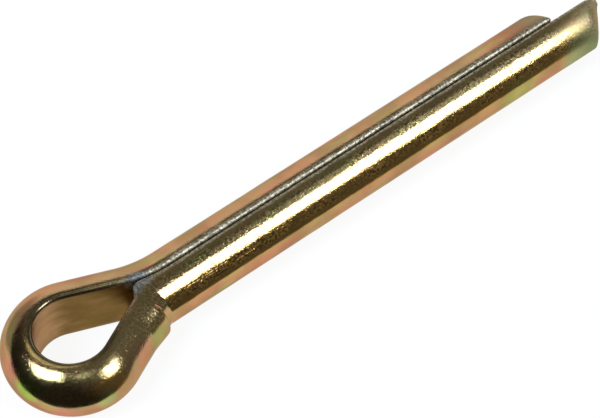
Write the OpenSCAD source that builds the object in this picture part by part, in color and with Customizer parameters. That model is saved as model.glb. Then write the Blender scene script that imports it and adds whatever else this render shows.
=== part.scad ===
// Cotter pin bent from one length of half-round wire.
// The flat side of the wire lines the eye and closes leg against leg, so the
// two legs together make a round shank.
//
// Frame: the shank's axis is X, pointing at the tips. The eye and both legs lie
// in the XY plane, with the long leg on the -Y side. The origin is on the axis
// where both legs have come straight. Z is up, and the pin lies on its side.

/* [Wire] */
// Diameter of the round shank that the two legs make together
shank_d = 5.8; // [3.6:0.1:8]
// Gap that stays between the two flat faces
leg_gap = 0.1; // [0.04:0.02:0.3]
// Radius along both edges of the wire's flat face
edge_r = 0.35; // [0.1:0.05:0.6]

/* [Eye] */
// Radius of the eye's inside, at its round end
eye_in_r = 3.1; // [2.6:0.1:5]
// How far the eye sits off the shank's axis, towards the long leg
eye_shift = 0.22; // [0:0.02:0.6]
// Angle at which the wire closes on the short leg's side
short_arm_angle = 22; // [18:0.5:24]
// Angle at which the wire closes on the long leg's side
long_arm_angle = 26.5; // [20:0.5:34]
// Radius of the open outer bend where the eye runs into the short leg
short_blend_r = 8.8; // [4:0.2:12]
// Radius of the tight outer crease where the eye meets the long leg
long_crease_r = 0.15; // [0.1:0.05:0.8]

/* [Legs] */
// Length of the short leg's flat, from the start of the shank to its tip
short_leg = 41.7; // [20:0.1:80]
// How much farther the long leg reaches
long_extra = 5.3; // [3:0.1:12]
// Angle of the cut across each tip, which leaves the flat side longest
tip_mitre = 36; // [20:1:45]

/* [Forming lip] */
// Height of the lip that the closing tool left at the long leg's crease
lip_h = 0.25; // [0.1:0.05:0.4]
// Length over which the lip runs out along the eye's arm
lip_run = 2.2; // [1.4:0.1:3]

/* [Hidden] */

$fn = 96;
// Finish: yellow passivated zinc plate on steel wire
zinc_gold = "#a8935a";

shank_r = shank_d / 2;
wire_t = shank_r - leg_gap / 2;

// Bends are drawn this much slimmer all round than straights, as drawn wire
// thins where it is bent, and they run this angle into the straights they meet
bend_thin = 0.01;
bend_lap = 0.5;

// Straight chords that round each edge of the flat face
edge_steps = 5;
// Middle of the edge rounding, and the angle at which it meets the round side
edge_cy = sqrt(pow(shank_r - edge_r, 2) - pow(edge_r + leg_gap / 2, 2));
edge_end = atan2(edge_cy, edge_r + leg_gap / 2);

// Bend radii of the flat face at the two necks
short_neck_r = wire_t + short_blend_r;
long_neck_r = wire_t + long_crease_r;

// Length of the straight arm between the eye's round end and a neck
function arm_len(angle, neck_r, shift) =
    (eye_in_r * cos(angle) + shift - leg_gap / 2 - neck_r * (1 - cos(angle))) / sin(angle);
// Distance along X from the eye's centre to the start of the straight leg
function reach(angle, neck_r, shift) =
    (eye_in_r + neck_r) * sin(angle) + arm_len(angle, neck_r, shift) * cos(angle);

// The short leg's neck ends at the origin, and so places the eye
eye_x = -reach(short_arm_angle, short_neck_r, -eye_shift);
short_start = 0;
long_start = eye_x + reach(long_arm_angle, long_neck_r, eye_shift);
long_leg = short_leg + long_extra;

// The lip tilts so that it sinks below the arm at the end of its run
lip_sink = 0.06;
lip_tilt = asin((lip_h + lip_sink) / lip_run);
// The lip is on the wire's crown only, and stays within the shank's width
lip_floor = wire_t / 2;

// A size past every part of the wire, for cutting tools
past = 4 * (shank_r + lip_h);

// Point at an angle on the rounding of one edge, on the side given as 1 or -1
function edge_point(r, angle, side) =
    [edge_r + r * cos(angle), side * (edge_cy + r * sin(angle))];

// Rounding of one edge, from the flat face to the round side. Its last chord
// runs on through the round side, so that the arc trims it cleanly.
function edge_points(r, side) =
    let (
        step = (180 - edge_end) / edge_steps,
        last = edge_point(r, edge_end + step, side),
        end = edge_point(r, edge_end, side)
    )
    concat(
        [for (i = [0 : edge_steps - 1]) edge_point(r, 180 - i * step, side)],
        [last + 2 * (end - last)]
    );

// Half-round section: the flat face on x = 0, the round side towards +x.
// It can be drawn slimmer by the same amount all round.
module section(thin = 0) {
    upper = edge_points(edge_r - thin, 1);
    lower = edge_points(edge_r - thin, -1);
    intersection() {
        translate([-leg_gap / 2, 0])
            circle(r = shank_r - thin);
        polygon(concat(
            [for (i = [len(lower) - 1 : -1 : 0]) lower[i]],
            upper,
            [[past, past], [past, -past]]
        ));
    }
}

// Crown of the wire, raised by the lip's height and cut off above the flat face
module lip_section() {
    intersection() {
        translate([-leg_gap / 2, 0])
            circle(r = shank_r + lip_h);
        translate([lip_floor, -past / 2])
            square([past, past]);
    }
}

// Extrudes its child along +X, with the child's x turned to +Y and its y to +Z
module along_x(length) {
    rotate([90, 0, 90])
        linear_extrude(height = length)
            children();
}

// Straight wire along +X with its flat face on y = 0 and its round side above it
module straight_wire(length) {
    along_x(length)
        section();
}

// Everything past a plane square to the leg, turned to the tip's mitre
module tip_cut(length) {
    translate([length, leg_gap / 2, 0])
        rotate([0, 0, tip_mitre])
            translate([0, -past, -past])
                cube(2 * past);
}

// Straight leg from its start to its mitred tip, on the +Y side
module leg(start, length) {
    difference() {
        translate([start, leg_gap / 2, 0])
            straight_wire(length - start + past / 4);
        tip_cut(length);
    }
}

// Bend that turns the arm into the leg, with the flat face outside it
module neck(start, angle, neck_r) {
    translate([start, leg_gap / 2 + neck_r, 0])
        rotate([0, 0, 270 - angle - bend_lap])
            rotate_extrude(angle = angle + 2 * bend_lap)
                translate([neck_r, 0])
                    mirror([1, 0])
                        section(bend_thin);
}

// Straight arm from the eye's round end to the neck
module arm(angle, neck_r, shift) {
    translate([eye_x + eye_in_r * sin(angle), shift + eye_in_r * cos(angle), 0])
        rotate([0, 0, -angle])
            straight_wire(arm_len(angle, neck_r, shift));
}

// One side of the pin, on the +Y side: arm, neck and leg
module half(angle, neck_r, shift, start, length) {
    arm(angle, neck_r, shift);
    neck(start, angle, neck_r);
    leg(start, length);
}

// Round end of the eye, from one arm to the other by way of -X
module eye() {
    translate([eye_x, -eye_shift, 0])
        rotate([0, 0, 90 - short_arm_angle - bend_lap])
            rotate_extrude(angle = 180 + short_arm_angle + long_arm_angle + 2 * bend_lap)
                translate([eye_in_r, 0])
                    section(bend_thin);
}

// Lip that stands proud of the long leg's crease and runs out along the arm
module forming_lip() {
    angle = long_arm_angle;
    crease_y = leg_gap / 2 + long_neck_r;
    end_x = long_start - long_neck_r * sin(angle);
    end_y = crease_y - long_neck_r * cos(angle);
    difference() {
        translate([end_x, end_y, 0])
            rotate([0, 0, lip_tilt - angle])
                translate([-lip_run, 0, 0])
                    along_x(2 * lip_run)
                        lip_section();
        translate([long_start, crease_y, 0])
            rotate([0, 0, -angle / 2])
                translate([0, -past, -past])
                    cube(2 * past);
    }
}

module cotter_pin() {
    color(zinc_gold)
        union() {
            eye();
            half(short_arm_angle, short_neck_r, -eye_shift, short_start, short_leg);
            mirror([0, 1, 0]) {
                half(long_arm_angle, long_neck_r, eye_shift, long_start, long_leg);
                forming_lip();
            }
        }
}

cotter_pin();
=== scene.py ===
"""Cotter pin: one length of half-round steel wire bent into a split pin and plated in yellow zinc.

The wire's sizes are in millimetres. Meshes, lights and the camera are in metres, as the frame is.
"""
import logging
import math
from collections.abc import Callable
from dataclasses import dataclass
from enum import Enum
from functools import partial
from typing import NamedTuple

import bpy
import numpy as np
from mathutils import Matrix, Vector


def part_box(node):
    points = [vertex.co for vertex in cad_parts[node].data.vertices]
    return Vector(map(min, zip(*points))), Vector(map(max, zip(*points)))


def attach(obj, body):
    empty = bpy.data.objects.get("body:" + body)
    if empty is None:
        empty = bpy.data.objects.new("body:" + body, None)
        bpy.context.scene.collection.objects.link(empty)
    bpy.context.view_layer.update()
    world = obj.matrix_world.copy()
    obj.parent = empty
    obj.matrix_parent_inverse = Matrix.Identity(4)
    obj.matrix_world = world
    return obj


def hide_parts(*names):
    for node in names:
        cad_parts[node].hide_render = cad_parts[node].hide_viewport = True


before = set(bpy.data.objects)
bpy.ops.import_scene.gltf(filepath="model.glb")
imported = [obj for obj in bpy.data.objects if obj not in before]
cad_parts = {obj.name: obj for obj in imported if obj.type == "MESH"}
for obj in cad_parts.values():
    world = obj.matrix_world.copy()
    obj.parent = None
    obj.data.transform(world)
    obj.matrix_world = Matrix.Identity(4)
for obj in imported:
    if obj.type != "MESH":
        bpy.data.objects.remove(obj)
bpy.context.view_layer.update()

Socket = bpy.types.NodeSocket

LOG = logging.getLogger("cotter_pin")
NODE = "cotter_pin"
BODY = "root"
SLOT = "yellow_zinc"
MM = 0.001
WHITE = (1.0, 1.0, 1.0, 1.0)
SMOOTH = {"interpolation_type": "SMOOTHSTEP"}


class Leg(Enum):
    """The pin's two legs, each with the side of the X axis that it lies on."""

    SHORT = 1
    LONG = -1


def linear(colour: str) -> tuple[float, float, float, float]:
    """Turns an sRGB hex colour to linear.

    Args:
        colour: the colour as "#RRGGBB".

    Returns:
        Red, green, blue and an alpha of 1, linear.
    """
    channels = [int(colour[i:i + 2], 16) / 255 for i in (1, 3, 5)]
    low = [c / 12.92 if c <= 0.04045 else ((c + 0.055) / 1.055) ** 2.4 for c in channels]
    return (low[0], low[1], low[2], 1.0)


def add_node(
    tree: bpy.types.NodeTree,
    kind: str,
    inputs: dict | tuple = (),
    output: int | str = 0,
    **settings: object,
) -> Socket:
    """Adds a node to a tree, with its settings, values and links.

    Args:
        tree: the node tree.
        kind: the node's type.
        inputs: values or output sockets, in the order of the inputs that they go to, or by
            those inputs' names or numbers.
        output: name or number of the output to return.
        settings: the node's own properties.

    Returns:
        The output socket, or None where the node has none.
    """
    node = tree.nodes.new(kind)
    for name, value in settings.items():
        setattr(node, name, value)
    places = inputs if isinstance(inputs, dict) else dict(enumerate(inputs))
    for key, value in places.items():
        if isinstance(value, Socket):
            tree.links.new(value, node.inputs[key])
        else:
            node.inputs[key].default_value = value
    return node.outputs[output] if node.outputs else None


def line_object(
    name: str, points: np.ndarray, closed: bool, attributes: dict[str, np.ndarray]
) -> bpy.types.Object:
    """Makes an object whose mesh is a line of edges, for a node tree to read.

    Args:
        name: the object's name.
        points: the line's points, in metres.
        closed: whether the last point joins the first.
        attributes: a number or a vector at each point, by the attribute's name.

    Returns:
        The new object, linked to the scene.
    """
    count = len(points)
    edges = [(i, (i + 1) % count) for i in range(count if closed else count - 1)]
    mesh = bpy.data.meshes.new(name)
    mesh.from_pydata(points.tolist(), edges, [])
    for key, values in attributes.items():
        kind, field = ("FLOAT", "value") if values.ndim == 1 else ("FLOAT_VECTOR", "vector")
        layer = mesh.attributes.new(key, kind, "POINT")
        layer.data.foreach_set(field, values.astype(np.float32).ravel())
    line = bpy.data.objects.new(name, mesh)
    bpy.context.scene.collection.objects.link(line)
    return line


@dataclass(frozen=True)
class HalfRoundWire:
    """The wire's section: a flat face, a round side and two rounded edges between them."""

    shank_d: float = 5.8
    leg_gap: float = 0.1
    edge_r: float = 0.35
    flat_steps: int = 18
    edge_steps: int = 7
    round_steps: int = 56

    @property
    def shank_r(self) -> float:
        """Radius that the round side is bent to."""
        return self.shank_d / 2

    @property
    def thickness(self) -> float:
        """Thickness from the flat face to the crown."""
        return self.shank_r - self.leg_gap / 2

    def outline(self) -> tuple[np.ndarray, np.ndarray]:
        """Works out the section's outline, with x away from the flat face and y across it.

        Returns:
            The outline's points and the way that it faces at each, both with z as 0.
        """
        edge_x = self.edge_r + self.leg_gap / 2
        edge_y = math.sqrt((self.shank_r - self.edge_r) ** 2 - edge_x ** 2)
        meet = math.atan2(edge_y, edge_x)
        flat = np.linspace(-edge_y, edge_y, self.flat_steps, endpoint=False)[1:]
        turn = np.linspace(math.pi, meet, self.edge_steps, endpoint=False)
        sweep = np.linspace(meet, -meet, self.round_steps)
        edge_way = np.c_[np.cos(turn), np.sin(turn)]
        edge = edge_way * self.edge_r + [self.edge_r, edge_y]
        round_way = np.c_[np.cos(sweep), np.sin(sweep)]
        points = np.vstack([
            np.c_[np.zeros_like(flat), flat],
            edge,
            round_way * self.shank_r - [self.leg_gap / 2, 0],
            edge[::-1] * [1, -1],
        ])
        facing = np.vstack([
            np.tile([-1.0, 0.0], (len(flat), 1)),
            edge_way,
            round_way,
            edge_way[::-1] * [1, -1],
        ])
        flatten = np.zeros((len(points), 1))
        return np.hstack([points, flatten]), np.hstack([facing, flatten])

    def make(self) -> bpy.types.Object:
        """Makes the outline as a closed line, with its facing and the way round it as attributes.

        Returns:
            The line's object.
        """
        points, facing = self.outline()
        steps = np.linalg.norm(np.diff(points, axis=0), axis=1)
        around = np.concatenate([[0.0], np.cumsum(steps)])
        attributes = {
            "facing": facing,
            "from_flat": points[:, 0],
            "across": points[:, 1],
            "around": around,
        }
        return line_object("section", points * MM, True, attributes)


@dataclass(frozen=True)
class Side:
    """One side of the pin: from the back of the eye along an arm and a neck to a leg's tip.

    The rows at the tip crowd together, to round its edges. Their shares of a step are the
    first one's, the last one's and how many there are.
    """

    leg: Leg
    arm_angle: float
    neck_r: float
    start: float
    tip: float
    eye_x: float
    eye_r: float
    eye_shift: float
    half_gap: float
    tip_shares: tuple[float, float, int] = (0.6, 0.05, 7)

    def trace(self, step: float, fine: float) -> tuple[np.ndarray, np.ndarray]:
        """Follows the flat face from the back of the eye to the tip.

        Args:
            step: spacing of the points on the leg.
            fine: spacing of the points on the bends.

        Returns:
            The points and the way out from the flat face at each, both in X and Y.
        """
        angle = math.radians(self.arm_angle)
        arc = np.arange(math.pi, math.pi / 2 - angle, -fine / self.eye_r)
        eye_way = np.c_[np.cos(arc), np.sin(arc)]
        eye = eye_way * self.eye_r + [self.eye_x, self.eye_shift]

        arm_way = np.array([math.sin(angle), math.cos(angle)])
        arm_start = np.array([self.eye_x, self.eye_shift]) + arm_way * self.eye_r
        neck_centre = np.array([self.start, self.half_gap + self.neck_r])
        arm_end = neck_centre - arm_way * self.neck_r
        share = np.linspace(0, 1, round(math.dist(arm_start, arm_end) / fine))[:-1, None]
        arm = arm_start + (arm_end - arm_start) * share

        turn = np.linspace(angle, 0, round(self.neck_r * angle / fine), endpoint=False)
        neck_way = np.c_[np.sin(turn), np.cos(turn)]
        neck = neck_centre - neck_way * self.neck_r

        leg_x = np.concatenate([
            np.arange(self.start, self.tip - step, step),
            self.tip - step * np.geomspace(*self.tip_shares),
            [self.tip],
        ])
        leg = np.c_[leg_x, np.full_like(leg_x, self.half_gap)]

        points = np.vstack([eye, arm, neck, leg])
        ways = np.vstack([
            eye_way,
            np.tile(arm_way, (len(arm), 1)),
            neck_way,
            np.tile([0.0, 1.0], (len(leg), 1)),
        ])
        mirror = np.array([1, self.leg.value])
        return points * mirror, ways * mirror


@dataclass(frozen=True)
class PinForm:
    """How the wire is bent into a pin, and how its tips are cut."""

    wire: HalfRoundWire
    long_tip: float
    eye_in_r: float = 3.1
    eye_shift: float = 0.22
    short_arm_angle: float = 22.0
    long_arm_angle: float = 26.5
    short_blend_r: float = 8.8
    long_crease_r: float = 0.15
    long_extra: float = 5.3
    long_mitre: float = 36.0
    short_mitre: float = 25.0
    mitre_run: float = 4.0
    tip_break: float = 0.25
    nose_drop: float = 1.5
    nose_run: float = 2.2
    web_start: float = -4.3
    web_full: float = -2.7
    web_lead: float = 1.0
    web_flat: float = 0.35
    web_depth: float = 1.4
    lip_h: float = 0.28
    lip_start: float = 0.60
    lip_run: float = 2.2
    lip_wall: float = 0.30
    lip_floor: float = 0.45
    lip_crown: float = 0.80
    wave_depth: float = 0.03
    wave_length: float = 3.5
    leg_step: float = 0.24
    bend_step: float = 0.12

    def reach(self, angle: float, neck_r: float, shift: float) -> float:
        """Distance along X from the eye's centre to the start of a leg.

        Args:
            angle: angle of the eye's arm, in degrees.
            neck_r: radius of the flat face at the neck.
            shift: the eye's offset towards this arm.

        Returns:
            The distance in millimetres.
        """
        lean = math.radians(angle)
        fall = self.eye_in_r * math.cos(lean) + shift - self.wire.leg_gap / 2
        arm = (fall - neck_r * (1 - math.cos(lean))) / math.sin(lean)
        return (self.eye_in_r + neck_r) * math.sin(lean) + arm * math.cos(lean)

    def sides(self) -> tuple[Side, Side]:
        """Works out both sides of the pin.

        Returns:
            The long leg's side, then the short leg's.
        """
        long_neck = self.wire.thickness + self.long_crease_r
        short_neck = self.wire.thickness + self.short_blend_r
        eye_x = -self.reach(self.short_arm_angle, short_neck, -self.eye_shift)
        long_start = eye_x + self.reach(self.long_arm_angle, long_neck, self.eye_shift)
        half_gap = self.wire.leg_gap / 2
        long_side = Side(
            Leg.LONG, self.long_arm_angle, long_neck, long_start, self.long_tip,
            eye_x, self.eye_in_r, self.eye_shift, half_gap,
        )
        short_side = Side(
            Leg.SHORT, self.short_arm_angle, short_neck, 0.0, self.long_tip - self.long_extra,
            eye_x, self.eye_in_r, -self.eye_shift, half_gap,
        )
        return long_side, short_side

    def make_path(self) -> bpy.types.Object:
        """Makes the flat face's middle line, from the long tip round the eye to the short tip.

        Returns:
            The line's object.
        """
        long_side, short_side = self.sides()
        near, near_way = long_side.trace(self.leg_step, self.bend_step)
        far, far_way = short_side.trace(self.leg_step, self.bend_step)
        points = np.vstack([near[::-1], far[1:]])
        ways = np.vstack([near_way[::-1], far_way[1:]])
        steps = np.linalg.norm(np.diff(points, axis=0), axis=1)
        run = np.concatenate([[0.0], np.cumsum(steps)])
        run = run[len(near) - 1] - run
        on_long = run > 0
        to_tip = np.where(on_long, long_side.tip, short_side.tip) - points[:, 0]
        mitres = [math.tan(math.radians(angle)) for angle in (self.long_mitre, self.short_mitre)]
        crease = run[len(near) - 1 - self.crease_index(near_way)]
        flat = np.zeros((len(points), 1))
        attributes = {
            "outward": np.hstack([ways, flat]),
            "run": run,
            "to_tip": to_tip,
            "from_crease": crease - run,
            "mitre": np.where(on_long, *mitres),
            "nose": np.where(on_long, self.nose_drop / self.wire.shank_r, 0.0),
            "web": np.concatenate([self.web(near, far)[::-1], np.zeros(len(far) - 1)]),
        }
        return line_object("path", np.hstack([points, flat]) * MM, False, attributes)

    def web(self, near: np.ndarray, far: np.ndarray) -> np.ndarray:
        """Works out how far the closing tool pressed the long side's flat face to the other.

        Args:
            near: the flat face's points on the long side.
            far: the flat face's points on the short side.

        Returns:
            The distance at each of the near points.
        """
        neck = far[far[:, 0] > self.web_start - self.web_lead]
        gap = np.interp(near[:, 0], neck[:, 0], neck[:, 1]) - near[:, 1] - self.wire.leg_gap
        share = (near[:, 0] - self.web_start) / (self.web_full - self.web_start)
        share = np.clip(share, 0.0, 1.0)
        return np.maximum(gap, 0.0) * share * share * (3 - 2 * share)

    def crease_index(self, ways: np.ndarray) -> int:
        """Finds the point of the long side's trace at which its arm ends.

        Args:
            ways: the way out from the flat face at each point of the trace.

        Returns:
            The point's number.
        """
        on_arm = np.isclose(ways[:, 0], math.sin(math.radians(self.long_arm_angle)))
        return int(np.nonzero(on_arm)[0].max())


class SweepTree:
    """Geometry Nodes that sweep the wire's section along the path and add the tools' marks."""

    SIZES = (
        "Mitre Run", "Tip Break", "Nose Run", "Web Flat", "Web Depth", "Lip Height", "Lip Start",
        "Lip Run", "Lip Wall", "Lip Floor", "Lip Crown", "Wave Depth", "Wave Length",
    )
    INPUTS = {
        "Path": "NodeSocketGeometry",
        "Section": "NodeSocketObject",
        **{size: "NodeSocketFloat" for size in SIZES},
        "Finish": "NodeSocketMaterial",
    }
    VECTORS = ("outward", "facing")
    NUMBERS = ("from_flat", "across", "to_tip", "from_crease", "mitre", "nose", "web")

    def __init__(self) -> None:
        """Builds the tree."""
        self.tree = bpy.data.node_groups.new("half_round_sweep", "GeometryNodeTree")
        self.sockets = {
            name: self.tree.interface.new_socket(name, in_out="INPUT", socket_type=kind).identifier
            for name, kind in self.INPUTS.items()
        }
        self.tree.interface.new_socket("Wire", in_out="OUTPUT", socket_type="NodeSocketGeometry")
        self.add = partial(add_node, self.tree)
        self.source = self.add("NodeGroupInput").node.outputs
        self.stored = {
            name: self.add(
                "GeometryNodeInputNamedAttribute", {"Name": name}, output="Attribute",
                data_type="FLOAT_VECTOR" if name in self.VECTORS else "FLOAT",
            )
            for name in self.VECTORS + self.NUMBERS
        }
        self.build()

    def build(self) -> None:
        """Links the sweep, the offset of its surface and the finish."""
        path = self.add("GeometryNodeMeshToCurve", {"Mesh": self.source["Path"]})
        turned = self.add(
            "GeometryNodeSetCurveNormal",
            {"Curve": path, "Normal": self.stored["outward"]}, mode="FREE",
        )
        section = self.add(
            "GeometryNodeObjectInfo", {"Object": self.source["Section"]}, output="Geometry"
        )
        profile = self.add("GeometryNodeMeshToCurve", {"Mesh": section})
        swept = self.add(
            "GeometryNodeCurveToMesh",
            {"Curve": turned, "Profile Curve": profile, "Fill Caps": True},
        )
        outward = self.add("GeometryNodeFlipFaces", {"Mesh": swept})
        moved = self.add(
            "GeometryNodeSetPosition", {"Geometry": outward, "Offset": self.offset()}
        )
        smooth = self.add("GeometryNodeSetShadeSmooth", {"Geometry": moved})
        real = self.add("GeometryNodeRealizeInstances", {"Geometry": smooth})
        finish = self.add(
            "GeometryNodeSetMaterial", {"Geometry": real, "Material": self.source["Finish"]}
        )
        self.add("NodeGroupOutput", (finish,))

    def offset(self) -> Socket:
        """Works out how far each point of the sweep moves.

        Returns:
            The offset in metres.
        """
        outward = self.stored["outward"]
        facing = self.add("ShaderNodeSeparateXYZ", (self.stored["facing"],)).node.outputs
        upright = self.add("ShaderNodeCombineXYZ", {2: facing[1]})
        sideways = self.add(
            "ShaderNodeVectorMath", {0: outward, "Scale": facing[0]}, operation="SCALE"
        )
        surface = self.add("ShaderNodeVectorMath", (sideways, upright), operation="ADD")
        rise = self.add("ShaderNodeMath", (self.lip(), self.tip_inset()), operation="SUBTRACT")
        rise = self.add("ShaderNodeMath", (rise, self.waves()), operation="ADD")
        raised = self.add(
            "ShaderNodeVectorMath", {0: surface, "Scale": rise}, operation="SCALE"
        )
        cut = self.add("ShaderNodeCombineXYZ", {0: self.mitre(), 2: self.nose()})
        total = self.add("ShaderNodeVectorMath", (raised, cut), operation="ADD")
        pressed = self.add(
            "ShaderNodeVectorMath", {0: outward, "Scale": self.web()}, operation="SCALE"
        )
        total = self.add("ShaderNodeVectorMath", (total, pressed), operation="SUBTRACT")
        return self.add("ShaderNodeVectorMath", {0: total, "Scale": MM}, operation="SCALE")

    def mitre(self) -> Socket:
        """Shears the tips along X, so that they are cut with the flat side longest.

        Returns:
            The move along X.
        """
        move = self.add(
            "ShaderNodeMapRange",
            (self.stored["to_tip"], 0.0, self.source["Mitre Run"], -1.0, 0.0),
        )
        for factor in (self.stored["mitre"], self.stored["from_flat"]):
            move = self.add("ShaderNodeMath", (move, factor), operation="MULTIPLY")
        return move

    def web(self) -> Socket:
        """Presses the flat side over, which closes the wedge at the crease.

        Returns:
            The move towards the other leg.
        """
        reach = (
            self.stored["from_flat"], self.source["Web Flat"], self.source["Web Depth"], 1.0, 0.0
        )
        weight = self.add("ShaderNodeMapRange", reach, **SMOOTH)
        return self.add("ShaderNodeMath", (weight, self.stored["web"]), operation="MULTIPLY")

    def tip_arc(self, size: Socket) -> Socket:
        """Follows a quarter round at the tips.

        Args:
            size: the round's radius.

        Returns:
            How deep the round is, from 0 where it starts to 1 at the tip.
        """
        depth = self.add("ShaderNodeMapRange", (self.stored["to_tip"], 0.0, size, 1.0, 0.0))
        square = self.add("ShaderNodeMath", (depth, depth), operation="MULTIPLY")
        rest = self.add("ShaderNodeMath", (1.0, square), operation="SUBTRACT")
        arc = self.add("ShaderNodeMath", (rest,), operation="SQRT")
        return self.add("ShaderNodeMath", (1.0, arc), operation="SUBTRACT")

    def tip_inset(self) -> Socket:
        """Draws the surface in at a tip, which rounds the cut's edge."""
        size = self.source["Tip Break"]
        return self.add("ShaderNodeMath", (self.tip_arc(size), size), operation="MULTIPLY")

    def nose(self) -> Socket:
        """Draws in the long tip's upper corner, where the cut left it blunt.

        Returns:
            The move along Z.
        """
        upper = self.add("ShaderNodeMath", (self.stored["across"], 0.0), operation="MAXIMUM")
        move = self.tip_arc(self.source["Nose Run"])
        for factor in (self.stored["nose"], upper, -1.0):
            move = self.add("ShaderNodeMath", (move, factor), operation="MULTIPLY")
        return move

    def lip(self) -> Socket:
        """Raises the lip that the closing tool left on the crown at the crease.

        Returns:
            The lip's height.
        """
        along = self.add(
            "ShaderNodeMath", (self.stored["from_crease"], self.source["Lip Start"]),
            operation="SUBTRACT",
        )
        height = self.add(
            "ShaderNodeMapRange",
            (along, 0.0, self.source["Lip Run"], self.source["Lip Height"], 0.0),
        )
        crown = (self.stored["from_flat"], self.source["Lip Floor"], self.source["Lip Crown"])
        for span in ((along, 0.0, self.source["Lip Wall"]), crown):
            weight = self.add("ShaderNodeMapRange", span, **SMOOTH)
            height = self.add("ShaderNodeMath", (height, weight), operation="MULTIPLY")
        return height

    def waves(self) -> Socket:
        """Adds the slow unevenness of drawn and bent wire.

        Returns:
            The surface's rise.
        """
        depth = self.source["Wave Depth"]
        scale = self.add(
            "ShaderNodeMath", (1.0 / MM, self.source["Wave Length"]), operation="DIVIDE"
        )
        place = self.add("GeometryNodeInputPosition")
        noise = self.add(
            "ShaderNodeTexNoise", {"Vector": place, "Scale": scale, "Detail": 1.0}
        )
        half = self.add("ShaderNodeMath", (depth, -0.5), operation="MULTIPLY")
        return self.add("ShaderNodeMath", (noise, depth, half), operation="MULTIPLY_ADD")


@dataclass(frozen=True)
class Surface:
    """Coordinates over the pin that its finish is drawn by, all in millimetres."""

    place: Socket
    normal: Socket
    run: Socket
    around: Socket
    from_flat: Socket
    across: Socket
    to_tip: Socket
    from_eye: Socket
    height: Socket

    @classmethod
    def read(cls, add: Callable[..., Socket]) -> "Surface":
        """Adds the nodes that read the coordinates.

        Args:
            add: adds a node to the material's tree.

        Returns:
            The coordinates' sockets.
        """
        metres = add("ShaderNodeTexCoord", output="Object")
        stored = {
            name: add("ShaderNodeAttribute", output="Fac", attribute_name=name)
            for name in ("run", "around", "from_flat", "across", "to_tip")
        }
        return cls(
            place=add("ShaderNodeVectorMath", {0: metres, "Scale": 1 / MM}, operation="SCALE"),
            normal=add("ShaderNodeTexCoord", output="Normal"),
            from_eye=add("ShaderNodeMath", (stored["run"],), operation="ABSOLUTE"),
            height=add("ShaderNodeMath", (stored["across"],), operation="ABSOLUTE"),
            **stored,
        )


class Fade(NamedTuple):
    """A smooth step between two places, with the values at the first and at the second."""

    start: float
    end: float
    first: float = 0.0
    last: float = 1.0


class Pattern(Enum):
    """Noises that cover the whole pin: size in millimetres, detail and roughness."""

    PATCHES = (3.0, 3.0, 0.5)
    RUBBING = (1.1111, 4.0, 0.5)
    SCUFFING = (0.4, 3.0, 0.5)
    GLOSS = (0.6667, 4.0, 0.5)
    MOTTLE = (0.22, 2.0, 0.6)
    GRAIN = (0.12, 1.0, 0.5)
    PITS = (0.18, 1.0, 0.5)
    DIMPLES = (1.1, 1.0, 0.5)
    WEAR = (0.30, 2.0, 0.5)


class Streaks(NamedTuple):
    """A noise drawn out along the wire or round it."""

    length: float
    width: float
    detail: float
    shift: tuple[float, float, float] = (0.0, 0.0, 0.0)


class Stain(NamedTuple):
    """A round patch where the film is thicker or thinner and shows another colour."""

    colour: str
    centre: tuple[float, float, float]
    radius: float
    strength: float = 0.8


class Scratch(NamedTuple):
    """A tool's scratch along the wire."""

    runs: tuple[float, float]
    around: float
    width: float


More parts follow.
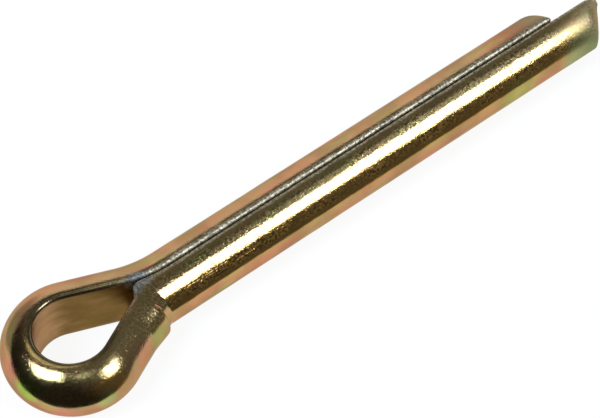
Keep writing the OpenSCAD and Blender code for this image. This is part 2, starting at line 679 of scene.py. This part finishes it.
@dataclass(frozen=True)
class YellowZinc:
    """Steel wire, barrel plated in zinc and passivated yellow.

    The metal is bright under a thin golden film. The film's thickness drifts, so it turns from
    gold to pink and green, and it is rubbed through to silver at the edges of the flat faces.
    Fine pits from plating make the crown's reflections grainy, and the flanks stay smooth. The
    real grain is finer than this one, which is drawn as coarse as it needs to show.
    """

    # The film's colours, where it is gone, and two painted shade colours: amber below the highlight
    # and the eye's inner edge
    gold: str = "#C2AC76"
    tan: str = "#B7966C"
    pink: str = "#C88B6A"
    painted_shade_amber: str = "#BF9650"
    green: str = "#A6B565"
    grey: str = "#A39673"
    silver: str = "#B6AC92"
    scuffed: str = "#9FA19C"
    # Painted shade along the flat face's edges inside the eye
    inner_shade_colour: str = "#5E573C"
    flat_olive: str = "#7A6138"
    flat_tan: str = "#AA8661"
    edge_tint: float = 0.60

    # Painted sheen and shade: gold where the pin faces the camera's way and tan where it turns
    # away, amber on the camera's side below the highlight; pink and green streaks where the film
    # drifts
    sheen_way: tuple[float, float, float] = (-0.316, -0.527, 0.789)
    painted_shade_way: tuple[float, float, float] = (-0.05, -0.87, 0.49)
    sheen_break: float = 0.3
    sheen_fade: Fade = Fade(0.80, 0.95)
    painted_shade_fade: Fade = Fade(0.92, 0.985, 0.0, 0.85)
    pinks: Streaks = Streaks(6.25, 1.25, 3.0)
    pink_fade: Fade = Fade(0.42, 0.62, 0.0, 0.85)
    pink_off_crown: Fade = Fade(0.0, 1.0, 1.0, 0.25)
    greens: Streaks = Streaks(5.2632, 0.9091, 3.0, (31.0, 17.0, 0.0))
    green_fade: Fade = Fade(0.50, 0.74, 0.0, 0.6)
    tip_fade: Fade = Fade(0.5, 5.0, 0.75, 0.0)
    # Where the painted shade at the eye's inner edge shows
    inner_shade_fade: Fade = Fade(0.35, 0.65, 1.0, 0.0)
    inner_shade_reach: Fade = Fade(7.0, 9.5, 0.8, 0.0)
    tone_fade: Fade = Fade(0.36, 0.62, 0.86, 1.04)
    stains: tuple[Stain, ...] = (
        Stain("#A4C456", (-15.2, -1.7, 1.1), 1.5),
        Stain("#D08C76", (-15.3, 0.6, 1.3), 1.2, 0.6),
        Stain("#CE8A78", (-13.8, -4.7, -0.4), 1.5, 0.6),
        Stain("#A9BE74", (-10.6, -5.9, 0.4), 1.2, 0.6),
        Stain("#CF8C6C", (-6.0, -4.8, 1.0), 1.4, 0.5),
        Stain("#A4A860", (-4.0, -3.9, 0.6), 1.3, 0.6),
        Stain("#B4BF66", (35.5, -2.8, -0.3), 2.6, 0.45),
        Stain("#9DB07C", (43.0, -2.9, 0.0), 3.0, 0.7),
    )
    stain_core: float = 0.4

    # The flat face: tan round the eye, darker olive in streaks along the arms
    flat_fade: Fade = Fade(0.02, 0.10, 1.0, 0.0)
    flat_streaks: Streaks = Streaks(2.2222, 0.7692, 4.0)
    flat_streak_depth: float = 1.6
    flat_arms: Fade = Fade(4.0, 7.0)
    flat_olive_fade: Fade = Fade(0.6, 2.0)

    # The rubbed edges of the legs' flat faces, widest on the short leg
    rub_height: Fade = Fade(2.35, 2.55)
    rub_legs: Fade = Fade(8.5, 13.0, 0.1, 1.0)
    rub_side: Fade = Fade(-1.0, 1.0, 0.12, 0.06)
    rub_break: float = -0.5
    rub_fade: Fade = Fade(-0.05, 0.2, 1.0, 0.0)

    # Scuff that the closing tool left at the crease
    scuff_centre: tuple[float, float, float] = (-3.0, -0.05, 2.6)
    scuff_break: float = 1.2
    scuff_fade: Fade = Fade(1.44, 2.07, 0.85, 0.0)
    scuff_edge: Fade = Fade(0.5, 0.9, 1.0, 0.0)

    # Mottling of the crown, weakest on the eye and at the tips
    mottle_fade: Fade = Fade(0.36, 0.66, 0.35, 1.60)
    mottle_way: Fade = Fade(0.64, 0.80)
    mottle_height: Fade = Fade(0.9, 1.5)
    mottle_inboard: Fade = Fade(0.45, 0.90)
    mottle_legs: Fade = Fade(8.0, 15.0, 0.35, 1.0)
    mottle_tips: Fade = Fade(3.0, 10.0, 0.6, 1.0)
    mottle_patches: Fade = Fade(0.40, 0.60, 0.35, 1.0)
    mottle_worn: float = 0.85

    # Gloss
    gloss_fade: Fade = Fade(0.3, 0.7, 0.088, 0.1375)
    gloss_tips: Fade = Fade(0.5, 9.0, 0.36, 0.0)
    gloss_bends: Fade = Fade(7.0, 11.0, 0.04, 0.0)
    worn_roughness: float = 0.46
    flat_roughness: float = 0.30

    # Relief: depths in millimetres, and where each kind shows
    crown_relief: Fade = Fade(0.8, 1.6, 0.1, 1.0)
    grain_depth: float = 0.007
    pit_fade: Fade = Fade(0.58, 0.78, 1.0, 0.0)
    pit_depth: float = 0.0045
    wear_depth: float = 0.028
    dimple_depth: float = 0.018
    dimple_bends: Fade = Fade(7.0, 11.0, 1.0, 0.6)
    drawn: Streaks = Streaks(5.0, 0.10, 2.0)
    drawn_depth: float = 0.002
    brushed: Streaks = Streaks(0.1667, 1.1111, 2.0)
    brushed_depth: float = 0.018
    brushed_tips: Fade = Fade(1.0, 9.0, 1.0, 0.0)
    scratch_depth: float = 0.020
    scratch_taper: float = 0.7
    scratches: tuple[Scratch, ...] = (
        Scratch((15.5, 19.8), 7.40, 0.05),
        Scratch((20.4, 22.4), 7.80, 0.04),
        Scratch((16.8, 18.6), 7.62, 0.035),
    )


class ZincTree:
    """Shader nodes that draw the yellow zinc over the pin."""

    def __init__(self, finish: YellowZinc) -> None:
        """Builds the material.

        Args:
            finish: the finish's colours and sizes.
        """
        self.finish = finish
        self.material = bpy.data.materials.new(SLOT)
        self.material.use_nodes = True
        tree = self.material.node_tree
        tree.nodes.clear()
        self.add = partial(add_node, tree)
        self.at = Surface.read(self.add)
        self.noise = {
            pattern: self.add(
                "ShaderNodeTexNoise",
                {"Vector": self.at.place, "Scale": 1 / pattern.value[0],
                 "Detail": pattern.value[1], "Roughness": pattern.value[2]},
            )
            for pattern in Pattern
        }
        # How far the surface faces the camera's way, read by the painted sheen and the mottle's
        # mask
        self.facing = self.add(
            "ShaderNodeVectorMath", (self.at.normal, finish.sheen_way),
            output="Value", operation="DOT_PRODUCT",
        )
        self.flat = self.add(
            "ShaderNodeMapRange", (self.at.from_flat, *finish.flat_fade), **SMOOTH
        )
        self.scuff = self.scuffed()
        self.worn = self.rubbed()
        colour = self.colour()
        shader = self.add(
            "ShaderNodeBsdfPrincipled",
            {
                "Metallic": 1.0,
                "Base Color": colour,
                "Specular Tint": self.edge(colour),
                "Roughness": self.gloss(),
                "Normal": self.relief(),
            },
        )
        self.add("ShaderNodeOutputMaterial", {"Surface": shader})

    def streaks(self, aside: Socket, streaks: Streaks) -> Socket:
        """Draws streaks by the run along the wire and a coordinate aside from it.

        Args:
            aside: the coordinate aside, in millimetres.
            streaks: the streaks' sizes.

        Returns:
            The streaks' level.
        """
        per_mm = (1 / streaks.length, 1 / streaks.width, 0.0)
        along = self.add("ShaderNodeCombineXYZ", (self.at.run, aside))
        place = self.add(
            "ShaderNodeVectorMath", (along, per_mm, streaks.shift), operation="MULTIPLY_ADD"
        )
        return self.add(
            "ShaderNodeTexNoise", {"Vector": place, "Scale": 1.0, "Detail": streaks.detail}
        )

    def masked(self, weight: Socket, masks: list[tuple[Socket, Fade]]) -> Socket:
        """Holds a weight to where every one of some masks lets it show.

        Args:
            weight: the weight.
            masks: a coordinate and the fade along it, for each mask.

        Returns:
            The weight where it shows.
        """
        for value, fade in masks:
            mask = self.add("ShaderNodeMapRange", (value, *fade), **SMOOTH)
            weight = self.add("ShaderNodeMath", (weight, mask), operation="MULTIPLY")
        return weight

    def scuffed(self) -> Socket:
        """Finds where the closing tool scuffed the legs' edges at the crease.

        Returns:
            A weight from 0, whole, towards 1, scuffed.
        """
        away = self.add(
            "ShaderNodeVectorMath", (self.at.place, self.finish.scuff_centre),
            output="Value", operation="DISTANCE",
        )
        broken = self.add(
            "ShaderNodeMath",
            (self.noise[Pattern.SCUFFING], self.finish.scuff_break, away),
            operation="MULTIPLY_ADD",
        )
        near = self.add("ShaderNodeMapRange", (broken, *self.finish.scuff_fade), **SMOOTH)
        return self.masked(near, [(self.at.from_flat, self.finish.scuff_edge)])

    def rubbed(self) -> Socket:
        """Finds where the film is gone: the legs' flat edges, rubbed by handling, and the scuff.

        Returns:
            A weight from 0, whole, to 1, rubbed through.
        """
        side = self.add("ShaderNodeMapRange", (self.at.run, *self.finish.rub_side), **SMOOTH)
        reach = self.add(
            "ShaderNodeMath",
            (self.noise[Pattern.RUBBING], self.finish.rub_break, self.at.from_flat),
            operation="MULTIPLY_ADD",
        )
        reach = self.add("ShaderNodeMath", (reach, side), operation="SUBTRACT")
        edge = self.add(
            "ShaderNodeMapRange", (self.at.height, *self.finish.rub_height), **SMOOTH
        )
        masks = [(reach, self.finish.rub_fade), (self.at.from_eye, self.finish.rub_legs)]
        return self.add(
            "ShaderNodeMath", (self.masked(edge, masks), self.scuff), operation="MAXIMUM"
        )

    def colour(self) -> Socket:
        """Paints the film: gold where it faces the camera's way and tan where it turns away, a
        painted sheen; painted shade in amber below the highlight and at the eye's inner edge; pink
        and green where the film drifts.

        Returns:
            The colour.
        """
        finish, at = self.finish, self.at
        # Painted sheen: gold where the surface faces the camera's way, tan where it turns away
        broken = self.add(
            "ShaderNodeMath",
            (self.noise[Pattern.PATCHES], finish.sheen_break, self.facing),
            operation="MULTIPLY_ADD",
        )
        crown = self.add("ShaderNodeMapRange", (broken, *finish.sheen_fade), **SMOOTH)
        # Painted shade: deeper amber on the camera's side below the highlight, where the pin
        # reflects the dim room
        below = self.add(
            "ShaderNodeVectorMath", (at.normal, finish.painted_shade_way),
            output="Value", operation="DOT_PRODUCT",
        )
        weights = {
            name: self.add("ShaderNodeMapRange", (value, *fade), **SMOOTH)
            for name, value, fade in (
                ("pink", self.streaks(at.around, finish.pinks), finish.pink_fade),
                ("green", self.streaks(at.around, finish.greens), finish.green_fade),
                ("painted_shade_amber", below, finish.painted_shade_fade),
                ("tip", at.to_tip, finish.tip_fade),
                ("inner_shade", at.from_flat, finish.inner_shade_fade),
            )
        }
        layers = [
            (linear(finish.pink), self.masked(weights["pink"], [(crown, finish.pink_off_crown)])),
            (linear(finish.green), weights["green"]),
            (linear(finish.painted_shade_amber), weights["painted_shade_amber"]),
            (linear(finish.grey), weights["tip"]),
            *((linear(stain.colour), self.stained(stain)) for stain in finish.stains),
            # Painted shade at the eye's inner edge
            (linear(finish.inner_shade_colour),
             self.masked(weights["inner_shade"], [(at.from_eye, finish.inner_shade_reach)])),
            (self.flat_colour(), self.flat),
            (linear(finish.silver), self.worn),
            (linear(finish.scuffed), self.scuff),
        ]
        shade = linear(finish.tan)
        for paint, weight in [(linear(finish.gold), crown), *layers]:
            shade = self.add(
                "ShaderNodeMix", {"Factor": weight, "A": shade, "B": paint},
                output="Result", data_type="RGBA",
            )
        return self.add("ShaderNodeVectorMath", {0: shade, "Scale": self.tone()}, operation="SCALE")

    def flat_colour(self) -> Socket:
        """Paints the flat face: tan round the eye, and olive in streaks along the arms.

        Returns:
            The colour.
        """
        finish = self.finish
        arms = self.add("ShaderNodeMapRange", (self.at.from_eye, *finish.flat_arms), **SMOOTH)
        streaks = self.streaks(self.at.across, finish.flat_streaks)
        streaks = self.add(
            "ShaderNodeMath", (streaks, finish.flat_streak_depth, arms), operation="MULTIPLY_ADD"
        )
        olive = self.add("ShaderNodeMapRange", (streaks, *finish.flat_olive_fade), **SMOOTH)
        return self.add(
            "ShaderNodeMix",
            {"Factor": olive, "A": linear(finish.flat_tan), "B": linear(finish.flat_olive)},
            output="Result", data_type="RGBA",
        )

    def tone(self) -> Socket:
        """Works out the colour's strength, mottled on the crown and where the film is rubbed.

        Returns:
            The colour's factor.
        """
        finish, at = self.finish, self.at
        patches = self.noise[Pattern.PATCHES]
        grainy = self.add("ShaderNodeMapRange", (self.facing, *finish.mottle_way), **SMOOTH)
        grainy = self.masked(grainy, [
            (at.height, finish.mottle_height),
            (at.from_flat, finish.mottle_inboard),
            (at.from_eye, finish.mottle_legs),
            (at.to_tip, finish.mottle_tips),
            (patches, finish.mottle_patches),
        ])
        rubbed = self.add("ShaderNodeMath", (self.worn, finish.mottle_worn), operation="MULTIPLY")
        grainy = self.add("ShaderNodeMath", (grainy, rubbed), operation="MAXIMUM")
        spots = self.add(
            "ShaderNodeMapRange", (self.noise[Pattern.MOTTLE], *finish.mottle_fade), **SMOOTH
        )
        spots = self.add(
            "ShaderNodeMix", {"Factor": grainy, "A": 1.0, "B": spots}, output="Result"
        )
        return self.masked(spots, [(patches, finish.tone_fade)])

    def stained(self, stain: Stain) -> Socket:
        """Finds where one stain shows.

        Args:
            stain: the stain.

        Returns:
            The stain's weight.
        """
        away = self.add(
            "ShaderNodeVectorMath", (self.at.place, stain.centre),
            output="Value", operation="DISTANCE",
        )
        fade = Fade(stain.radius * self.finish.stain_core, stain.radius, stain.strength, 0.0)
        return self.add("ShaderNodeMapRange", (away, *fade), **SMOOTH)

    def edge(self, colour: Socket) -> Socket:
        """Tints glancing reflections, which the film keeps from turning white.

        Args:
            colour: the film's colour.

        Returns:
            The tint.
        """
        return self.add(
            "ShaderNodeMix", {"Factor": self.finish.edge_tint, "A": WHITE, "B": colour},
            output="Result", data_type="RGBA",
        )

    def gloss(self) -> Socket:
        """Works out the roughness, which drifts over the plating and is highest where it is worn.

        Returns:
            The roughness.
        """
        finish, at = self.finish, self.at
        gloss = self.add(
            "ShaderNodeMapRange", (self.noise[Pattern.GLOSS], *finish.gloss_fade), **SMOOTH
        )
        for value, fade in ((at.to_tip, finish.gloss_tips), (at.from_eye, finish.gloss_bends)):
            more = self.add("ShaderNodeMapRange", (value, *fade), **SMOOTH)
            gloss = self.add("ShaderNodeMath", (gloss, more), operation="ADD")
        for weight, roughness in (
            (self.flat, finish.flat_roughness), (self.worn, finish.worn_roughness)
        ):
            gloss = self.add(
                "ShaderNodeMix", {"Factor": weight, "A": gloss, "B": roughness}, output="Result"
            )
        return gloss

    def relief(self) -> Socket:
        """Raises grain, pits, wear, scratches, brushing, dimples and drawing lines.

        Returns:
            The surface's normal.
        """
        finish, at = self.finish, self.at
        crown, pits, tips, bends = (
            self.add("ShaderNodeMapRange", (value, *fade), **SMOOTH)
            for value, fade in (
                (at.height, finish.crown_relief),
                (self.noise[Pattern.PITS], finish.pit_fade),
                (at.to_tip, finish.brushed_tips),
                (at.from_eye, finish.dimple_bends),
            )
        )
        bumps = (
            (self.noise[Pattern.GRAIN], finish.grain_depth, crown),
            (pits, finish.pit_depth, crown),
            (self.noise[Pattern.WEAR], finish.wear_depth, self.worn),
            (self.scored(), finish.scratch_depth, 1.0),
            (self.streaks(at.around, finish.brushed), finish.brushed_depth, tips),
            (self.noise[Pattern.DIMPLES], finish.dimple_depth, bends),
            (self.streaks(at.around, finish.drawn), finish.drawn_depth, 1.0),
        )
        below = {}
        for level, depth, strength in bumps:
            normal = self.add(
                "ShaderNodeBump",
                {"Height": level, "Distance": depth * MM, "Strength": strength, **below},
            )
            below = {"Normal": normal}
        return normal

    def scored(self) -> Socket:
        """Cuts the scratches.

        Returns:
            A height of 1 beside the scratches and 0 in them.
        """
        height = 1.0
        for scratch in self.finish.scratches:
            start, end = scratch.runs
            half = (end - start) / 2
            along, aside = (
                self.add(
                    "ShaderNodeMath",
                    (self.add("ShaderNodeMath", (value, centre), operation="SUBTRACT"),),
                    operation="ABSOLUTE",
                )
                for value, centre in (
                    (self.at.run, (start + end) / 2), (self.at.around, scratch.around)
                )
            )
            line = Fade(0.0, scratch.width, 1.0, 0.0)
            within = Fade(half * self.finish.scratch_taper, half, 1.0, 0.0)
            depth = self.add("ShaderNodeMapRange", (aside, *line), **SMOOTH)
            depth = self.masked(depth, [(along, within)])
            rest = self.add("ShaderNodeMath", (1.0, depth), operation="SUBTRACT")
            height = self.add("ShaderNodeMath", (height, rest), operation="MINIMUM")
        return height


@dataclass(frozen=True)
class CotterPin:
    """The pin itself: the wire swept along its bends, and its finish."""

    form: PinForm
    finish: YellowZinc = YellowZinc()
    sharp_angle: float = 40.0

    def sweep(self) -> bpy.types.Mesh:
        """Sweeps the wire along its bends.

        Returns:
            The pin's plain mesh.
        """
        form, sweep = self.form, SweepTree()
        path, section = form.make_path(), form.wire.make()
        values = {
            "Section": section,
            "Mitre Run": form.mitre_run,
            "Tip Break": form.tip_break,
            "Nose Run": form.nose_run,
            "Web Flat": form.web_flat,
            "Web Depth": form.web_depth,
            "Lip Height": form.lip_h,
            "Lip Start": form.lip_start,
            "Lip Run": form.lip_run,
            "Lip Wall": form.lip_wall,
            "Lip Floor": form.wire.thickness * form.lip_floor,
            "Lip Crown": form.wire.thickness * form.lip_crown,
            "Wave Depth": form.wave_depth,
            "Wave Length": form.wave_length,
            "Finish": ZincTree(self.finish).material,
        }
        modifier = path.modifiers.new("sweep", "NODES")
        modifier.node_group = sweep.tree
        for name, value in values.items():
            modifier[sweep.sockets[name]] = value
        graph = bpy.context.evaluated_depsgraph_get()
        mesh = bpy.data.meshes.new_from_object(path.evaluated_get(graph))
        path.modifiers.remove(modifier)
        for line in (path, section):
            bpy.data.objects.remove(line)
        return mesh

    def make(self) -> bpy.types.Object:
        """Builds the pin, hangs it on the body that it rides on and hides the imported part that it
        stands for.

        Returns:
            The pin's object.
        """
        mesh = self.sweep()
        mesh.name = "split_pin"
        mesh.set_sharp_from_angle(angle=math.radians(self.sharp_angle))
        pin = bpy.data.objects.new("split_pin", mesh)
        bpy.context.scene.collection.objects.link(pin)
        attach(pin, BODY)
        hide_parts(NODE)
        return pin


@dataclass(frozen=True)
class SoftBox:
    """A rectangular light, placed by the way from the pin to it and sized by what it spans."""

    name: str
    way: tuple[float, float, float]
    along: tuple[float, float, float]
    tall_angle: float
    wide_angle: float
    radiance: float
    colour: str = "#DCE6F8"
    distance: float = 2.0

    def make(self) -> bpy.types.Object:
        """Makes the light, facing the pin.

        Returns:
            The light's object.
        """
        tall, wide = (
            2 * self.distance * math.tan(math.radians(angle / 2))
            for angle in (self.tall_angle, self.wide_angle)
        )
        lamp = bpy.data.lights.new(self.name, "AREA")
        lamp.shape = "RECTANGLE"
        lamp.size, lamp.size_y = wide, tall
        lamp.energy = self.radiance * math.pi * wide * tall
        lamp.color = linear(self.colour)[:3]
        light = bpy.data.objects.new(self.name, lamp)
        way = Vector(self.way).normalized()
        side = Vector(self.along).cross(way).normalized()
        turned = Matrix((side, way.cross(side), way)).transposed().to_4x4()
        light.matrix_world = Matrix.Translation(way * self.distance) @ turned
        bpy.context.scene.collection.objects.link(light)
        return light


@dataclass(frozen=True)
class Studio:
    """A pale floor under a bright backdrop, with a dimmer room on the camera's side.

    A dim card stands in the backdrop. The camera itself sees only white.
    """

    backdrop_edge: tuple[float, float, float] = (-0.316, -0.487, 0.814)
    room_reach: float = 0.09
    room_side: tuple[float, float, float] = (0.930, -0.113, 0.349)
    floor_size: float = 4.0
    floor_colour: str = "#FDFDFC"
    floor_glow: float = 0.92
    floor_grey: float = 0.12
    room_fade: Fade = Fade(-0.3, 0.6, 0.02, 0.155)
    room_blend: float = 0.035
    card_way: tuple[float, float, float] = (-0.218, 0.952, 0.203)
    card_fade: Fade = Fade(0.85, 0.95, 1.0, 0.4)
    boxes: tuple[SoftBox, ...] = (
        SoftBox("key_box", (0.387, -0.665, 0.640), (0.050, -0.770, -0.640), 27.0, 18.0, 11.0),
        SoftBox("key_skirt", (0.450, -0.340, 0.826), (0.050, -0.800, -0.600), 18.0, 12.0, 0.6),
        SoftBox("fill_box", (-0.545, 0.060, 0.835), (0.505, 0.638, 0.581), 24.0, 28.0, 13.0),
        SoftBox("middle_box", (-0.092, -0.380, 0.920), (1.0, 0.0, 0.1), 16.0, 16.0, 0.8),
        SoftBox(
            "top_box", (-0.012, 0.392, 0.920), (0.784, -0.620, 0.0), 26.0, 16.0, 1.3, "#F6F0E0"
        ),
    )

    def make(self, height: float) -> None:
        """Makes the floor, the surround and the lights.

        Args:
            height: height of the floor, in metres.
        """
        self.make_floor(height)
        self.make_surround()
        for box in self.boxes:
            box.make()

    def make_floor(self, height: float) -> None:
        """Makes the floor, which the pin's own reflections don't show.

        Args:
            height: height of the floor, in metres.
        """
        half = self.floor_size / 2
        corners = [(x * half, y * half, height) for x, y in ((-1, -1), (1, -1), (1, 1), (-1, 1))]
        mesh = bpy.data.meshes.new("floor")
        mesh.from_pydata(corners, [], [(0, 1, 2, 3)])
        floor = bpy.data.objects.new("floor", mesh)
        bpy.context.scene.collection.objects.link(floor)
        material = bpy.data.materials.new("pale_floor")
        material.use_nodes = True
        tree = material.node_tree
        tree.nodes.clear()
        grey = (self.floor_grey, self.floor_grey, self.floor_grey, 1.0)
        paint = add_node(tree, "ShaderNodeBsdfDiffuse", {"Color": grey})
        glow = add_node(
            tree, "ShaderNodeEmission",
            {"Color": linear(self.floor_colour), "Strength": self.floor_glow},
        )
        both = add_node(tree, "ShaderNodeAddShader", (paint, glow))
        add_node(tree, "ShaderNodeOutputMaterial", {"Surface": both})
        mesh.materials.append(material)
        floor.visible_glossy = False

    def make_surround(self) -> None:
        """Makes the surround: a bright backdrop with a dim card in it, and a dim room."""
        world = bpy.data.worlds.new("surround")
        world.use_nodes = True
        bpy.context.scene.world = world
        tree = world.node_tree
        tree.nodes.clear()
        add = partial(add_node, tree)
        way = add("ShaderNodeTexCoord", output="Generated")
        sideways, towards, near_card = (
            add("ShaderNodeVectorMath", (way, axis), output="Value", operation="DOT_PRODUCT")
            for axis in (self.room_side, self.backdrop_edge, self.card_way)
        )
        room = add("ShaderNodeMapRange", (sideways, *self.room_fade), **SMOOTH)
        backdrop = add("ShaderNodeMapRange", (near_card, *self.card_fade), **SMOOTH)
        blend = (-self.room_reach - self.room_blend, self.room_blend - self.room_reach)
        level = add("ShaderNodeMapRange", (towards, *blend, backdrop, room), **SMOOTH)
        shown = add("ShaderNodeLightPath", output="Is Camera Ray")
        seen = add("ShaderNodeMix", {"Factor": shown, "A": level, "B": 1.0}, output="Result")
        sky = add("ShaderNodeBackground", {"Color": WHITE, "Strength": seen})
        add("ShaderNodeOutputWorld", {"Surface": sky})


@dataclass(frozen=True)
class ViewCamera:
    """A long lens that looks down along the pin from the eye's end.

    Its aim and shift are in millimetres on the pin, and so are its lens and sensor.
    """

    azimuth: float = -38.34
    elevation: float = 54.51
    distance: float = 0.19205
    lens: float = 137.22
    sensor: float = 36.0
    nearest: float = 0.01
    aim: tuple[float, float, float] = (12.65, 0.0, 0.0)
    frame_shift: tuple[float, float] = (0.674, -0.357)

    def axes(self) -> tuple[Vector, Vector, Vector]:
        """Works out which ways the camera faces.

        Returns:
            Its right, its up and the way back from the pin to it.
        """
        a, e = math.radians(self.azimuth), math.radians(self.elevation)
        back = Vector((math.sin(a) * math.cos(e), -math.cos(a) * math.cos(e), math.sin(e)))
        right = Vector((math.cos(a), math.sin(a), 0.0))
        return right, back.cross(right), back

    def make(self) -> bpy.types.Object:
        """Makes the scene's camera.

        Returns:
            The camera's object.
        """
        data = bpy.data.cameras.new("view")
        data.lens = self.lens
        data.sensor_width = self.sensor
        data.clip_start = self.nearest
        camera = bpy.data.objects.new("view", data)
        right, up, back = self.axes()
        centre = Vector(self.aim) + right * self.frame_shift[0] + up * self.frame_shift[1]
        turned = Matrix((right, up, back)).transposed().to_4x4()
        camera.matrix_world = Matrix.Translation(centre * MM + back * self.distance) @ turned
        bpy.context.scene.collection.objects.link(camera)
        bpy.context.scene.camera = camera
        return camera


def main() -> None:
    """Builds the pin, the studio and the camera."""
    logging.basicConfig(level=logging.INFO, format="%(name)s: %(message)s")
    ViewCamera().make()
    bpy.context.scene.view_settings.view_transform = "Standard"
    low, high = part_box(NODE)
    pin = CotterPin(PinForm(HalfRoundWire(), long_tip=high.x / MM)).make()
    LOG.info("%s: %d faces", pin.name, len(pin.data.polygons))
    Studio().make(low.z)


if __name__ == "__main__":
    main()
